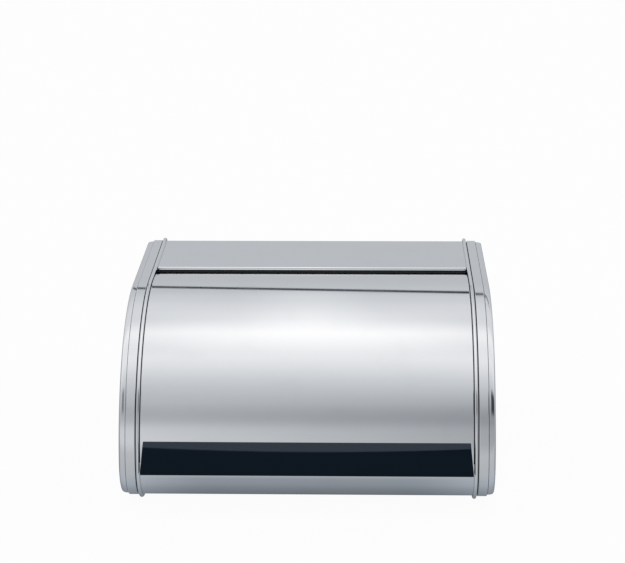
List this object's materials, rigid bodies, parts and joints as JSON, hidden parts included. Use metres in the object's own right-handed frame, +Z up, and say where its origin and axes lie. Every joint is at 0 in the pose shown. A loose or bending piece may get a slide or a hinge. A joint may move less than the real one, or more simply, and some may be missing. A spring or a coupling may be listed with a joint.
{
  "type": "bread box",
  "caption": "Polished steel bread box with a curved roll-top lid that slides back under a flat deck, domed end caps and a black full-width handle.",
  "frame": {"origin": "on the ground under the middle of the box", "axes": "+X to the right end cap, +Y to the back, +Z up; the lid and handle face -Y"},
  "size_m": [0.3342, 0.2909, 0.1715],
  "materials": {
    "cap_steel": "brilliant polished steel, softly mirrored",
    "bright_trim": "mirror polish",
    "sheet_steel": "brilliant polished steel sheet",
    "black_gloss": "glossy black moulding",
    "liner_plastic": "fine matte texture",
    "shoe_plastic": "smooth nylon",
    "rubber": "matte black rubber",
    "fasteners": "zinc-plated steel"
  },
  "bodies": {
    "case": {"back_panel": "sheet_steel", "back_screws": "fasteners", "base_screws": "fasteners", "base_tray": "sheet_steel", "deck_front_rail": "bright_trim", "foot_front_left": "rubber", "foot_front_right": "rubber", "foot_rear_left": "rubber", "foot_rear_right": "rubber", "left_bead_rim": "bright_trim", "left_closed_stop": "rubber", "left_end_cap": "cap_steel", "left_open_stop": "rubber", "left_side_liner": "liner_plastic", "lid_wiper": "rubber", "right_bead_rim": "bright_trim", "right_closed_stop": "rubber", "right_end_cap": "cap_steel", "right_open_stop": "rubber", "right_side_liner": "liner_plastic", "top_deck": "sheet_steel"},
    "lid": {"lid_sheet": "sheet_steel", "lid_handle": "black_gloss", "rear_stiffener": "sheet_steel", "handle_screws": "fasteners", "left_edge_runner": "liner_plastic", "left_front_guide_shoe": "shoe_plastic", "left_rear_guide_shoe": "shoe_plastic", "right_edge_runner": "liner_plastic", "right_front_guide_shoe": "shoe_plastic", "right_rear_guide_shoe": "shoe_plastic"}
  },
  "joints": [
    {"name": "lid_roll", "type": "hinge", "parent": "case", "child": "lid", "pos_m": [0, 0.0041, 0.024], "axis": [-1, 0, 0], "range_deg": [0, 44]}
  ]
}
